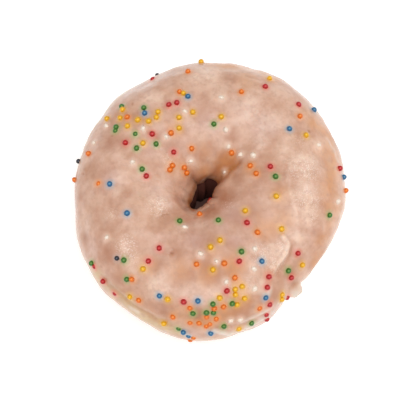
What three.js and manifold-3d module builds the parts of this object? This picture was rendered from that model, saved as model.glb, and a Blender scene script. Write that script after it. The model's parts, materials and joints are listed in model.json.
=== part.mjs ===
// A raised ring doughnut: a fried ring of dough with a small, squeezed hole, poured icing over its top and
// round sugar sprinkles stuck in the icing.
//
// Millimetres, +Z up. The doughnut lies on z = 0, and the origin is the middle of its footprint. -Y is its
// front and +X its right. Two angles, in degrees, name every point of its skin:
//   bearing  anticlockwise round the ring, seen from above, from +X;
//   roll     round the ring's section: 0 at the outer waist, 90 on the crown, 180 in the hole, 270 below.

import * as THREE from 'three';
import { mergeVertices } from 'three/addons/utils/BufferGeometryUtils.js';
import Module from 'manifold-3d';

const { degToRad, euclideanModulo, lerp, radToDeg } = THREE.MathUtils;
const wasm = await Module();
wasm.setup();

// Driving dimensions of the dough.
const WAIST_RADIUS = 46.8; // plan radius at the waist, before the swells and flats below
const FRONT_TO_BACK = 1.04; // the ring is a little longer from front to back than it is wide
const WAIST_HEIGHT = 16.2;
const CROWN_RISE = 17.6; // from the waist to the top of the dough
const BASE_DROP = 17.8; // from the waist to where the base would end if it weren't squashed flat
const TOP_FULLNESS = 2.35; // 2 makes that half of the section an ellipse, and more makes it squarer
const BASE_FULLNESS = 2.1;
const HOLE_BASE_FULLNESS = 6; // of the section under the waist on the hole's side

// The hole is a slanting lozenge, because the dough closed up round it as it fried. Under the waist it goes
// down steeply, leaning forward and closing in a little more.
const HOLE = { x: -2.6, y: -1.3, halfLength: 6.9, halfWidth: 3.9, bearing: 48, squareness: 1.8 };
const HOLE_LEAN = 4.4; // how much further forward the hole is at the base than at the waist
const HOLE_CLOSING = 0.06; // how much smaller it is there, as a share

// Where the outline is fuller or flatter than an even ring.
const SWELLS = [
  { bearing: 352, spread: 22, rise: 0.8 },
  { bearing: 322, spread: 45, rise: -3.7 },
  { bearing: 336, spread: 16, rise: 0.8 },
  { bearing: 295, spread: 20, rise: 1.2 },
  { bearing: 272, spread: 22, rise: 1.1 },
  { bearing: 232, spread: 45, rise: 1.3 },
  { bearing: 187, spread: 28, rise: -1.2 },
  { bearing: 140, spread: 45, rise: -2.1 },
  { bearing: 78, spread: 26, rise: -0.7 },
  { bearing: 45, spread: 55, rise: 1.4 },
];

// Gentle lumps from proving and frying: waves that run round the ring and over its section at once.
const LUMPS = [
  { around: 3, over: 1, height: 0.45, phase: 20 },
  { around: 5, over: -1, height: 0.4, phase: 200 },
  { around: 8, over: 2, height: 0.25, phase: 75 },
  { around: 13, over: -3, height: 0.15, phase: 310 },
];

// Creases and dimples, each with its middle, its half-widths round the ring and over it, and its depth.
const DENTS = [
  { bearing: 47, roll: 136, around: 18, over: 42, depth: 1.4 },
  { bearing: 236, roll: 150, around: 20, over: 28, depth: 0.7 },
  { bearing: 322, roll: 78, around: 14, over: 34, depth: 0.8 },
  { bearing: 280, roll: 92, around: 16, over: 20, depth: 0.6 },
  { bearing: 152, roll: 80, around: 14, over: 30, depth: 0.5 },
];

// Driving dimensions of the icing, which lies a hair's breadth off the dough.
const ICING_GAP = 0.3;
const ICING_THICKNESS = 0.95;
const LIP_BEAD = 0.6; // how much thicker the icing is in the bead along its outer edge
const BEAD_WIDTH = 0.16; // share of the icing's width that the bead takes
const HOLE_THINNING = 0.7; // share of its thickness that the icing loses at its edge in the hole
const THINNING_WIDTH = 0.28; // share of the icing's width over which it thins down there
const OUTER_LIP_ROLL = 7; // the icing's outer edge on average, before its scallops and drips
const HOLE_LIP_ROLL = 168; // the icing's edge inside the hole
const SCALLOPS = [
  { around: 3, height: 2.2, phase: 265 },
  { around: 7, height: 1.6, phase: 40 },
  { around: 16, height: 1.1, phase: 120 },
];
const DRIPS = [
  { bearing: 315, spread: 11, drop: 11, bulge: 1.1 },
  { bearing: 300, spread: 13, drop: 16, bulge: 0.9 },
  { bearing: 253, spread: 16, drop: 13, bulge: 0.5 },
  { bearing: 218, spread: 14, drop: 8, bulge: 0.3 },
  { bearing: 188, spread: 13, drop: 18, bulge: 0.4 },
  { bearing: 132, spread: 16, drop: 12, bulge: 0.2 },
  { bearing: 74, spread: 15, drop: 21, bulge: 0.4 },
  { bearing: 18, spread: 17, drop: 14, bulge: 0.3 },
];

// Round sugar sprinkles. They fell in drifts, and a few fell everywhere. A drift's spread is in millimetres.
const SPRINKLE_RADIUS = 0.95;
const SPRINKLE_STANDS = 0.42; // height of a sprinkle's middle above the icing, in sprinkle radii
const SPRINKLE_SPACING = 2.3; // least distance between the middles of two sprinkles
const SPRINKLE_DRIFTS = [
  { bearing: 130, roll: 75, spread: 13, count: 27 },
  { bearing: 131, roll: 116, spread: 6, count: 7 },
  { bearing: 75, roll: 60, spread: 15, count: 6 },
  { bearing: 40, roll: 36, spread: 10, count: 6 },
  { bearing: 42, roll: 105, spread: 7, count: 6 },
  { bearing: 5, roll: 22, spread: 9, count: 4 },
  { bearing: 333, roll: 100, spread: 9, count: 6 },
  { bearing: 311, roll: 56, spread: 12, count: 13 },
  { bearing: 276, roll: 104, spread: 9, count: 8 },
  { bearing: 277, roll: 50, spread: 13, count: 31 },
  { bearing: 262, roll: 25, spread: 8, count: 8 },
  { bearing: 221, roll: 55, spread: 12, count: 13 },
  { bearing: 176, roll: 48, spread: 12, count: 5 },
];
const SPRINKLES_EVERYWHERE = 10;
const BARE_MARGIN = 0.07; // share of the icing's width that has no sprinkles along each of its edges
const SPRINKLE_SEED = 20;

// How finely the skin is divided.
const STEPS_AROUND = 72;
const DOUGH_ROWS = 22;
const ICING_ROWS = 12; // over the icing's top
const ROOT_ROWS = 3; // back through the dough, where the icing is cut away again
const ROOT_DEPTH = 3;
const LIP_CROWDING = 1.3; // above 1, this crowds the icing's rows towards its outer edge
const NORMAL_STEP = 0.25; // degrees between the points that a normal is worked out from

const COLOURS = { crust: 0xb5713c, icing: 0xe3bba6 };

// Shortest way from one bearing or roll to another, in degrees.
function turnBetween(from, to) {
  return euclideanModulo(to - from + 180, 360) - 180;
}

// 1 at no distance, falling smoothly to 0 at the spread.
function bell(distance, spread) {
  const share = Math.min(1, Math.abs(distance) / spread);
  return 0.5 + 0.5 * Math.cos(Math.PI * share);
}

// A wave of height 1 that repeats each full turn.
function wave(degrees) {
  return Math.sin(degToRad(degrees));
}

// Adds up what each of a list of features gives.
function total(features, valueOf) {
  return features.reduce((sum, feature) => sum + valueOf(feature), 0);
}

// Distance from the middle to the edge of the rounded shape |x|^power + |y|^power = 1, at an angle.
function squareRound(angle, power) {
  const x = Math.abs(wave(angle + 90));
  const y = Math.abs(wave(angle));
  return (x ** power + y ** power) ** (-1 / power);
}

function alongBearing(bearing, distance) {
  return new THREE.Vector3(distance * wave(bearing + 90), distance * wave(bearing), 0);
}

// The dough's outer edge in plan, at the waist.
function waistPoint(bearing) {
  const rise = total(SWELLS, (s) => s.rise * bell(turnBetween(s.bearing, bearing), s.spread));
  const point = alongBearing(bearing, WAIST_RADIUS + rise);
  point.y *= FRONT_TO_BACK;
  return point;
}

// The hole's edge in plan, at a depth from 0 at the waist to 1 at the base.
function holePoint(bearing, depth) {
  const x = Math.abs(wave(bearing - HOLE.bearing + 90) / HOLE.halfLength);
  const y = Math.abs(wave(bearing - HOLE.bearing) / HOLE.halfWidth);
  const radius = (x ** HOLE.squareness + y ** HOLE.squareness) ** (-1 / HOLE.squareness);
  const middle = new THREE.Vector3(HOLE.x, HOLE.y - HOLE_LEAN * depth, 0);
  return alongBearing(bearing, radius * (1 - HOLE_CLOSING * depth)).add(middle);
}

// How full the section is at a roll.
function fullness(roll) {
  if (wave(roll) > 0) return TOP_FULLNESS;
  return wave(roll + 90) < 0 ? HOLE_BASE_FULLNESS : BASE_FULLNESS;
}

// The dough's skin before its lumps and dents.
function evenSkin(bearing, roll) {
  const reach = squareRound(roll, fullness(roll));
  const up = reach * wave(roll);
  const hole = holePoint(bearing, Math.max(-up, 0));
  const point = hole.lerp(waistPoint(bearing), (1 + reach * wave(roll + 90)) / 2);
  point.z = WAIST_HEIGHT + up * (up > 0 ? CROWN_RISE : BASE_DROP);
  return point;
}

function skinNormal(bearing, roll) {
  const alongRing = evenSkin(bearing + NORMAL_STEP, roll).sub(evenSkin(bearing - NORMAL_STEP, roll));
  const overRing = evenSkin(bearing, roll + NORMAL_STEP).sub(evenSkin(bearing, roll - NORMAL_STEP));
  return alongRing.cross(overRing).normalize();
}

// How far the lumps and dents push the skin out.
function relief(bearing, roll) {
  const lumps = total(LUMPS, (l) => l.height * wave(l.around * bearing + l.over * roll + l.phase));
  const dents = total(DENTS, (d) => d.depth * bell(turnBetween(d.bearing, bearing), d.around)
    * bell(turnBetween(d.roll, roll), d.over));
  return lumps - dents;
}

// A point at some height off the dough's skin. The base is squashed flat on z = 0.
function overSkin(bearing, roll, height) {
  const point = evenSkin(bearing, roll);
  point.addScaledVector(skinNormal(bearing, roll), relief(bearing, roll) + height);
  point.z = Math.max(point.z, 0);
  return point;
}

// The icing's outer edge: scalloped, and lower where it ran down in a drip.
function outerLipRoll(bearing) {
  const scallops = total(SCALLOPS, (s) => s.height * wave(s.around * bearing + s.phase));
  const drips = total(DRIPS, (d) => d.drop * bell(turnBetween(d.bearing, bearing), d.spread));
  return OUTER_LIP_ROLL + scallops - drips;
}

// How far a roll is over the icing's width, from 0 at its outer edge to 1 at its edge in the hole.
function icingShare(bearing, roll) {
  const outer = outerLipRoll(bearing);
  return (roll - outer) / (HOLE_LIP_ROLL - outer);
}

// The icing's thickness. A bead along its outer edge is fuller in the drips, and it thins into the hole.
function icingThickness(bearing, roll) {
  const share = icingShare(bearing, roll);
  const bulge = total(DRIPS, (d) => d.bulge * bell(turnBetween(d.bearing, bearing), d.spread));
  const bead = bell(share - BEAD_WIDTH / 2, BEAD_WIDTH);
  const thinning = HOLE_THINNING * bell(1 - share, THINNING_WIDTH);
  return ICING_THICKNESS * (1 - thinning) + (LIP_BEAD + bulge) * bead;
}

// A closed ring made from a torus, with each point moved to its place. The rows run over its section.
function ringSolid(rows, pointAt) {
  const torus = new THREE.TorusGeometry(2, 1, rows, STEPS_AROUND);
  const places = torus.getAttribute('position');
  const shares = torus.getAttribute('uv');
  for (let i = 0; i < places.count; i += 1) {
    const step = Math.round(shares.getX(i) * STEPS_AROUND) % STEPS_AROUND;
    const row = Math.round(shares.getY(i) * rows) % rows;
    const point = pointAt((step * 360) / STEPS_AROUND, row);
    places.setXYZ(i, point.x, point.y, point.z);
  }
  return solidFrom(torus);
}

// The dough, or the room that the icing leaves for it when it is grown by a height.
function doughSolid(height) {
  return ringSolid(DOUGH_ROWS, (bearing, row) => overSkin(bearing, (360 * row) / DOUGH_ROWS, height));
}

// The poured icing: over its top from the outer edge to the hole, then back through the dough.
function pouredIcing() {
  return ringSolid(ICING_ROWS + 1 + ROOT_ROWS, (bearing, row) => {
    const onTop = row <= ICING_ROWS;
    const share = onTop ? (row / ICING_ROWS) ** LIP_CROWDING : (row - ICING_ROWS) / (ROOT_ROWS + 1);
    const outer = outerLipRoll(bearing);
    const roll = onTop ? lerp(outer, HOLE_LIP_ROLL, share) : lerp(HOLE_LIP_ROLL, outer, share);
    return overSkin(bearing, roll, onTop ? ICING_GAP + icingThickness(bearing, roll) : -ROOT_DEPTH);
  });
}

// A closed three.js geometry as a solid that can be joined or cut.
function solidFrom(geometry) {
  const bare = new THREE.BufferGeometry().setAttribute('position', geometry.getAttribute('position'));
  bare.setIndex(geometry.index);
  const merged = mergeVertices(bare, 1e-4);
  return new wasm.Manifold(new wasm.Mesh({
    numProp: 3,
    vertProperties: merged.getAttribute('position').array,
    triVerts: new Uint32Array(merged.index.array),
  }));
}

// A solid as a three.js geometry.
function geometryFrom(solid) {
  const mesh = solid.getMesh();
  const geometry = new THREE.BufferGeometry();
  geometry.setAttribute('position', new THREE.BufferAttribute(mesh.vertProperties, 3));
  geometry.setIndex(new THREE.BufferAttribute(mesh.triVerts, 1));
  geometry.computeVertexNormals();
  return geometry;
}

// Draws numbers from 0 to 1, the same ones on every run.
function seededDraws(seed) {
  let state = seed;
  return () => {
    state = (state * 1664525 + 1013904223) % 2 ** 32;
    return state / 2 ** 32;
  };
}

// The middles of all sprinkles. A draw is thrown away where it misses the icing or meets another sprinkle.
function sprinkleMiddles() {
  const draw = seededDraws(SPRINKLE_SEED);
  const middles = [];
  function drop(bearing, roll) {
    const share = icingShare(bearing, roll);
    const height = ICING_GAP + icingThickness(bearing, roll) + SPRINKLE_STANDS * SPRINKLE_RADIUS;
    const middle = overSkin(bearing, roll, height);
    const onIcing = share > BARE_MARGIN && share < 1 - BARE_MARGIN;
    const free = middles.every((other) => other.distanceTo(middle) > SPRINKLE_SPACING);
    if (onIcing && free) middles.push(middle);
  }
  for (const drift of SPRINKLE_DRIFTS) {
    const wanted = middles.length + drift.count;
    const centre = overSkin(drift.bearing, drift.roll, 0);
    const aroundPerMm = radToDeg(1 / Math.hypot(centre.x, centre.y));
    const overPerMm = radToDeg(1 / CROWN_RISE);
    while (middles.length < wanted) {
      const away = drift.spread * Math.sqrt(draw());
      const way = 360 * draw();
      drop(drift.bearing + away * wave(way) * aroundPerMm, drift.roll + away * wave(way + 90) * overPerMm);
    }
  }
  const wanted = middles.length + SPRINKLES_EVERYWHERE;
  while (middles.length < wanted) drop(360 * draw(), lerp(OUTER_LIP_ROLL, HOLE_LIP_ROLL, draw()));
  return middles;
}

// A sprinkle is a small ball, each turned its own way.
function sprinkleSolid(middle, index) {
  const ball = new THREE.IcosahedronGeometry(SPRINKLE_RADIUS, 0);
  ball.rotateX(index);
  ball.rotateZ(2 * index);
  ball.translate(middle.x, middle.y, middle.z);
  return solidFrom(ball);
}

const sprinkledIcing = sprinkleMiddles()
  .map(sprinkleSolid)
  .reduce((joined, sprinkle) => joined.add(sprinkle), pouredIcing())
  .subtract(doughSolid(ICING_GAP));

const doughnut = new THREE.Group();

const doughRing = new THREE.Mesh(
  geometryFrom(doughSolid(0)),
  new THREE.MeshStandardMaterial({ color: COLOURS.crust, roughness: 0.7, metalness: 0 }),
);
doughRing.name = 'dough_ring';
doughnut.add(doughRing);

const icing = new THREE.Mesh(
  geometryFrom(sprinkledIcing),
  new THREE.MeshStandardMaterial({ color: COLOURS.icing, roughness: 0.35, metalness: 0 }),
);
icing.name = 'icing';
doughnut.add(icing);

// The swells pull the ring off centre, so it is moved back over the middle of its footprint.
const middle = new THREE.Box3().setFromObject(doughnut).getCenter(new THREE.Vector3());
doughRing.geometry.translate(-middle.x, -middle.y, 0);
icing.geometry.translate(-middle.x, -middle.y, 0);

export default doughnut;
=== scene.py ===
# %% [markdown]
# # A sprinkle frosted doughnut
#
# A raised ring doughnut is proved, fried on both sides and dipped in thin sugar icing, and round sugar
# sprinkles are dropped on it while the icing is wet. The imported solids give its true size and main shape.
# This lesson gives it its looks: a fine crust, a poured icing with drips and thick and thin places, some 170
# sprinkles that sit in the icing, and a finish for each. The frame is loaded first, and its box is kept,
# because the finished doughnut must still fit in it.

# %% Load the frame
import json
import math
import random

import bpy
import numpy as np
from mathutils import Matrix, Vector
from mathutils.kdtree import KDTree

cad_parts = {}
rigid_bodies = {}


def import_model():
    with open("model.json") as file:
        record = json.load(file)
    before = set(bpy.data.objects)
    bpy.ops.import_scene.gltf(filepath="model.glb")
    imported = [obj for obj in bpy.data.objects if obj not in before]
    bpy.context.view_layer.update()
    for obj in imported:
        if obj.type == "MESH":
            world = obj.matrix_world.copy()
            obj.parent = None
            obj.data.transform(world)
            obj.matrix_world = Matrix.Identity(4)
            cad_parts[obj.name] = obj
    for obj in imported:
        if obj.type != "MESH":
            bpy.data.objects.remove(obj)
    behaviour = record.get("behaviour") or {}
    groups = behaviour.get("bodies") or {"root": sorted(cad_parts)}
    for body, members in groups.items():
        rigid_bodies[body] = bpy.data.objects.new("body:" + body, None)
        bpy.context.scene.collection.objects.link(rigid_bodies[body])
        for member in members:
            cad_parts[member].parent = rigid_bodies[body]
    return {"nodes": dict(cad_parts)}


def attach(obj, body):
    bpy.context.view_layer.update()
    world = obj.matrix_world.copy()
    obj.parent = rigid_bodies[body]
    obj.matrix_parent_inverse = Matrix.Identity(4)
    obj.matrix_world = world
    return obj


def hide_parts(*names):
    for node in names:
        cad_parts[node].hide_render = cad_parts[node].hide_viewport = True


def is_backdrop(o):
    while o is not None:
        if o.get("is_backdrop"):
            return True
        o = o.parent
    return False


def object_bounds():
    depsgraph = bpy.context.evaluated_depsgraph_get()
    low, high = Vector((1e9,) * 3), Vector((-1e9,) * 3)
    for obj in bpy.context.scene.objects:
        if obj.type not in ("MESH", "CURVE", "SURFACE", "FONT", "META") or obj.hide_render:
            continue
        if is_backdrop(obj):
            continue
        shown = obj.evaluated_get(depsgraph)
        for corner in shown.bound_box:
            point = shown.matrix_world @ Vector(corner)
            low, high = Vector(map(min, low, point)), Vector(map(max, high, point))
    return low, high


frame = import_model()
cad_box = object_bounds()
MM = 0.001
print("frame box in mm:", [[round(c / MM, 1) for c in corner] for corner in cad_box])

# %% [markdown]
# ## Three habits
#
# Most operators act on all that is selected, and the frame arrives selected. So every step first selects
# its own piece alone. A modifier is applied as soon as it is set, so that the next step works on real
# faces. Weight painting is done by rule: one number from 0 to 1 for each vertex, worked out from where the
# vertex is, which a modifier or a material then reads. That keeps every bump and patch a named value that
# can be changed later, which a brush stroke is not.

# %% Select, apply and paint
def only(*pieces):
    """Select these pieces and nothing else, and make the first one active."""
    bpy.ops.object.select_all(action="DESELECT")
    for piece in pieces:
        piece.select_set(True)
    bpy.context.view_layer.objects.active = pieces[0]


def modify(piece, kind, **settings):
    """Give a piece one modifier and apply it."""
    modifier = piece.modifiers.new(kind.lower(), kind)
    for name, value in settings.items():
        setattr(modifier, name, value)
    only(piece)
    bpy.ops.object.modifier_apply(modifier=modifier.name)


def smooth(piece):
    """Shade a piece as one smooth skin."""
    only(piece)
    bpy.ops.object.shade_smooth()


def select_vertices(piece, chosen):
    """Select the vertices for which chosen is true, in edit mode."""
    only(piece)
    bpy.ops.object.mode_set(mode="EDIT")
    bpy.ops.mesh.select_mode(type="VERT")
    bpy.ops.mesh.select_all(action="DESELECT")
    bpy.ops.object.mode_set(mode="OBJECT")
    piece.data.vertices.foreach_set("select", chosen)
    bpy.ops.object.mode_set(mode="EDIT")


def points_of(piece):
    """The vertices of a piece as rows of x, y, z, in metres."""
    rows = np.empty(3 * len(piece.data.vertices), np.float32)
    piece.data.vertices.foreach_get("co", rows)
    return rows.reshape(-1, 3)


def paint(piece, name, weights):
    """Keep a weight from 0 to 1 for each vertex, for a modifier to read."""
    group = piece.vertex_groups.get(name) or piece.vertex_groups.new(name=name)
    for index in np.flatnonzero(weights > 0.001):
        group.add([int(index)], float(weights[index]), "REPLACE")
    return name


def bell(distance, spread):
    """1 at no distance, falling smoothly to 0 at the spread."""
    share = np.clip(np.abs(distance) / spread, 0, 1)
    return 0.5 + 0.5 * np.cos(math.pi * share)


def ramp(value, low, high):
    """0 below low and 1 above high, with a smooth rise between them."""
    share = np.clip((value - low) / (high - low), 0, 1)
    return share * share * (3 - 2 * share)


# %% [markdown]
# ## The camera
#
# The doughnut lies on a table and is looked at from almost straight above, a little from the front, so that
# the front flank shows and the back one hides. A long lens of 85 mm keeps the ring from bulging. The camera
# comes first because many places below, such as a sprinkle's, are named as the camera sees them: a point of
# a square frame 400 points wide, counted from its top left corner. A ray through that point finds the skin.

# %% Set the camera
FRAME_POINTS = 400
ELEVATION = math.radians(74)
LENS = 85
SENSOR = 36
CAMERA_DISTANCE = 337 * MM
AIM = Vector((-3.1, -0.05, 16)) * MM

towards_camera = Vector((0, -math.cos(ELEVATION), math.sin(ELEVATION)))
bpy.ops.object.camera_add(
    location=AIM + CAMERA_DISTANCE * towards_camera, rotation=(math.pi / 2 - ELEVATION, 0, 0)
)
camera = bpy.context.object
camera.data.lens = LENS
camera.data.sensor_width = SENSOR
camera.data.clip_start = 10 * MM
bpy.context.scene.camera = camera
bpy.context.view_layer.update()
print("camera at", [round(c, 3) for c in camera.location])


def ray_through(x, y):
    """The direction in which the camera sees a point of its frame."""
    half = FRAME_POINTS / 2
    on_sensor = Vector(((x - half) * SENSOR / FRAME_POINTS, (half - y) * SENSOR / FRAME_POINTS, -LENS))
    return (camera.matrix_world.to_3x3() @ on_sensor).normalized()


POINT = 2 * CAMERA_DISTANCE * SENSOR / (2 * LENS) / FRAME_POINTS  # one point of the frame, at the doughnut
print("one point of the frame is", round(POINT / MM, 3), "mm")

# %% [markdown]
# ## Light and floor
#
# The light is soft and comes from round the camera, as in a light tent: no side is dark, every sprinkle has
# a pale middle where it mirrors the big lamp, helped by a painted highlight on each ball, and the icing
# shines in broad, weak patches. One large square lamp over the front does that. Two lamps at the sides keep
# the flanks open, and a small one at the far right draws short, crisp glints on the ridges. A white world
# fills the rest. The floor is a white sheet lit from below as well, as a light table is, so it shows no
# shadow and puts a pale edge on the flanks. Under the doughnut the floor is painted dark brown, a painted
# shade, so only a dim brown glow comes up through the hole and the hole looks dark.

# %% Hang the lamps and lay the floor
WORLD_STRENGTH = 0.46
LAMPS = {
    "overhead": {"place": (0.02, -0.22, 0.77), "size": 0.9, "power": 4.2},
    "right_side": {"place": (0.80, 0.20, 0.42), "size": 0.55, "power": 1.1},
    "right_back": {"place": (0.51, 0.27, 0.64), "size": 0.16, "power": 0.35},
    "left_side": {"place": (-0.80, -0.10, 0.42), "size": 0.55, "power": 0.6},
}
FLOOR_SIZE = 3.0
FLOOR_WHITE = (0.93, 0.93, 0.93, 1)
FLOOR_GLOW = 0.38
FLOOR_ROUGHNESS = 0.9
# Painted shade: the floor under the doughnut is dark brown, so the hole looks dark.
PAINTED_SHADE = (0.1, 0.05, 0.04, 1)
PAINTED_SHADE_RADIUS = 24 * MM
PAINTED_SHADE_FADE = 14 * MM

scene = bpy.context.scene
scene.view_settings.view_transform = "Standard"
scene.world = bpy.data.worlds.new("white_room")
scene.world.use_nodes = True
scene.world.node_tree.nodes["Background"].inputs["Color"].default_value = (1, 1, 1, 1)
scene.world.node_tree.nodes["Background"].inputs["Strength"].default_value = WORLD_STRENGTH

for name, lamp in LAMPS.items():
    place = Vector(lamp["place"])
    turn = (AIM - place).to_track_quat("-Z", "Y").to_euler()
    bpy.ops.object.light_add(type="AREA", location=place, rotation=turn)
    bpy.context.object.name = name
    bpy.context.object.data.size = lamp["size"]
    bpy.context.object.data.energy = lamp["power"]

bpy.ops.mesh.primitive_plane_add(size=FLOOR_SIZE)
floor = bpy.context.object
floor.name = "floor"
paper = bpy.data.materials.new("white_paper")
paper.use_nodes = True
nodes, links = paper.node_tree.nodes, paper.node_tree.links
place = nodes.new("ShaderNodeTexCoord")
away = nodes.new("ShaderNodeVectorMath")
away.operation = "LENGTH"
links.new(place.outputs["Object"], away.inputs[0])
# The painted shade fills a round patch under the doughnut and fades out past it.
unshaded = nodes.new("ShaderNodeMapRange")
unshaded.inputs["From Min"].default_value = PAINTED_SHADE_RADIUS
unshaded.inputs["From Max"].default_value = PAINTED_SHADE_RADIUS + PAINTED_SHADE_FADE
links.new(away.outputs["Value"], unshaded.inputs["Value"])
shade_mix = nodes.new("ShaderNodeMix")
shade_mix.data_type = "RGBA"
shade_mix.inputs[6].default_value = PAINTED_SHADE
shade_mix.inputs[7].default_value = FLOOR_WHITE
links.new(unshaded.outputs["Result"], shade_mix.inputs[0])
sheet = nodes["Principled BSDF"]
links.new(shade_mix.outputs[2], sheet.inputs["Base Color"])
links.new(shade_mix.outputs[2], sheet.inputs["Emission Color"])
sheet.inputs["Emission Strength"].default_value = FLOOR_GLOW
sheet.inputs["Roughness"].default_value = FLOOR_ROUGHNESS
floor.data.materials.append(paper)
floor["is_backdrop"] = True
print(len(LAMPS), "lamps and the floor are set")

# %% [markdown]
# ## A fine ring
#
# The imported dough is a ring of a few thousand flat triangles. A copy of it has the true form, so the fine
# ring starts there: its loose corners are merged, its triangles paired into quads, and two levels of
# subdivision round it. A torus pushed on to the solid would do as well, but it would slip in the narrow
# hole. Proving leaves soft lumps, and frying leaves small ones, so two cloud textures push the skin in and
# out by fractions of a millimetre. The base stays flat, because the dough rested on it.

# %% Make the fine ring
MERGE_WITHIN = 0.002 * MM
RING_LEVELS = 2
FLAT_BELOW = 1.0 * MM
RELIEF_ABOVE = 6.0 * MM
CRUST_RELIEF = [
    {"name": "proving_lumps", "across": 13 * MM, "height": 0.9 * MM},
    {"name": "frying_lumps", "across": 4.5 * MM, "height": 0.28 * MM},
]


def clouds(name, across):
    """A cloud texture whose lumps are so many metres across."""
    texture = bpy.data.textures.new(name, type="CLOUDS")
    texture.noise_scale = across
    texture.noise_depth = 2
    return texture


def ripple(piece, relief, group):
    """Push a skin in and out by cloud textures, as far as a vertex group lets them."""
    for lumps in relief:
        modify(
            piece,
            "DISPLACE",
            texture=clouds(lumps["name"], lumps["across"]),
            texture_coords="LOCAL",
            strength=lumps["height"],
            mid_level=0.5,
            vertex_group=group,
        )


dough = bpy.data.objects.new("dough", frame["nodes"]["dough_ring"].data.copy())
bpy.context.collection.objects.link(dough)
dough.data.materials.clear()
only(dough)
bpy.ops.object.mode_set(mode="EDIT")
bpy.ops.mesh.select_all(action="SELECT")
bpy.ops.mesh.customdata_custom_splitnormals_clear()
bpy.ops.mesh.remove_doubles(threshold=MERGE_WITHIN)
bpy.ops.mesh.tris_convert_to_quads(face_threshold=math.pi, shape_threshold=math.pi)
bpy.ops.object.mode_set(mode="OBJECT")
quads = sum(len(face.vertices) == 4 for face in dough.data.polygons)
print("the ring has", quads, "quads out of", len(dough.data.polygons), "faces")

modify(dough, "SUBSURF", levels=RING_LEVELS, render_levels=RING_LEVELS)
off_base = paint(dough, "off_base", ramp(points_of(dough)[:, 2], FLAT_BELOW, RELIEF_ABOVE))
ripple(dough, CRUST_RELIEF, off_base)
smooth(dough)
print("fine ring:", len(dough.data.polygons), "faces")

# %% [markdown]
# ## Find places on the skin
#
# Much of what follows has its own place: a thin patch here, a ridge there, one sprinkle beside another. Each
# is named as a point of the camera's frame, and a ray through that point finds the skin, so it sits on the
# icing from whatever side it is looked at. A point just past the outline is moved inwards until its ray
# meets the ring.

# %% Cast rays on to the skin
RING_MIDDLE = (209.5, 201.0)
BAND_MIDDLE = 82.0  # points from the ring's middle to the middle of its band
SEARCH_STEP = 0.4


def under(piece, x, y):
    """The place on a piece under a point of the frame, and the skin's normal there."""
    while True:
        met, place, normal, _ = piece.ray_cast(camera.location, ray_through(x, y))
        if met:
            return place, normal
        across, down = x - RING_MIDDLE[0], y - RING_MIDDLE[1]
        away = math.hypot(across, down)
        step = math.copysign(SEARCH_STEP, BAND_MIDDLE - away) / away
        x += step * across
        y += step * down


def away_from(points, place):
    """How far each of some points is from one place."""
    return np.linalg.norm(points - np.array(place), axis=1)


def spots(piece, places):
    """How much each vertex is covered by soft round spots, from 0 to 1. Each is x, y, radius and strength."""
    points = points_of(piece)
    cover = np.zeros(len(points))
    for x, y, radius, strength in places:
        away = away_from(points, under(piece, x, y)[0])
        cover = np.maximum(cover, strength * bell(away, radius * POINT))
    return cover


def nearest(points, places):
    """The distance from each point to the nearest of some places, and which one that is."""
    tree = KDTree(len(places))
    for index, place in enumerate(places):
        tree.insert(place, index)
    tree.balance()
    found = [tree.find(point) for point in points]
    return np.array([away for _, _, away in found]), np.array([index for _, index, _ in found])


def trace(stations):
    """Places on the icing close together along a line through some points of the frame."""
    line = []
    for (x0, y0), (x1, y1) in zip(stations, stations[1:]):
        steps = math.ceil(math.hypot(x1 - x0, y1 - y0))
        for share in np.arange(steps) / steps:
            line.append(under(icing, x0 + (x1 - x0) * share, y0 + (y1 - y0) * share)[0])
    return line


# %% [markdown]
# ## Squeeze the hole and the flanks
#
# The dough closed up round its hole unevenly as it fried, so the far left wall bulges in. A push with
# proportional editing on one vertex moves the wall and takes the skin round it along, as a thumb would. The
# packed hole stays as it is, a little wider. A few rounds of smoothing ease the pushed skin. The flanks get
# gentler pushes of a millimetre or two, in where the dough lay against its neighbour and out between.

# %% Push the wall and the flanks
# Where the push starts, in points of the frame, how far it goes and how wide it reaches, in millimetres.
PUSHES = [
    {"at": (188, 200), "by": (2.6, -0.6, 0.0), "width": 14.0},
    {"at": (200, 209), "by": (0.0, 1.0, 0.0), "width": 7.0},
    {"at": (203, 185), "by": (-0.3, 1.8, 0.0), "width": 7.0},
    {"at": (141, 84), "by": (1.0, -1.6, 0.0), "width": 13.0},
    {"at": (174, 70), "by": (0.2, -0.8, 0.0), "width": 10.0},
    {"at": (94, 135), "by": (-0.7, 0.4, 0.0), "width": 9.0},
    {"at": (303, 99), "by": (-0.5, -0.5, 0.0), "width": 13.0},
    {"at": (331, 144), "by": (0.7, 0.35, 0.0), "width": 10.0},
    {"at": (340, 201), "by": (0.5, 0.0, 0.0), "width": 9.0},
    {"at": (312, 260), "by": (0.8, -0.5, 0.0), "width": 14.0},
    {"at": (219, 334), "by": (0.0, -0.7, 0.0), "width": 9.0},
    {"at": (155, 324), "by": (-0.2, -0.45, 0.0), "width": 11.0},
    {"at": (76, 207), "by": (0.7, 0.0, 0.0), "width": 9.0},
    {"at": (83, 243), "by": (-0.45, 0.0, 0.0), "width": 8.0},
]
HOLE_LEFT = 2.5 * MM  # how far the hole's middle lies left of the ring's
EASE_WITHIN = 13 * MM
EASE_ROUNDS = 6
EASE_SHARE = 0.5


def pull(piece, vertex, by, width):
    """Move one vertex by so many millimetres, and take the skin round it along."""
    select_vertices(piece, np.arange(len(piece.data.vertices)) == vertex)
    bpy.ops.transform.translate(
        value=[part * MM for part in by],
        use_proportional_edit=True,
        use_proportional_connected=True,
        proportional_edit_falloff="SMOOTH",
        proportional_size=width * MM,
    )
    bpy.ops.object.mode_set(mode="OBJECT")


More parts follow.
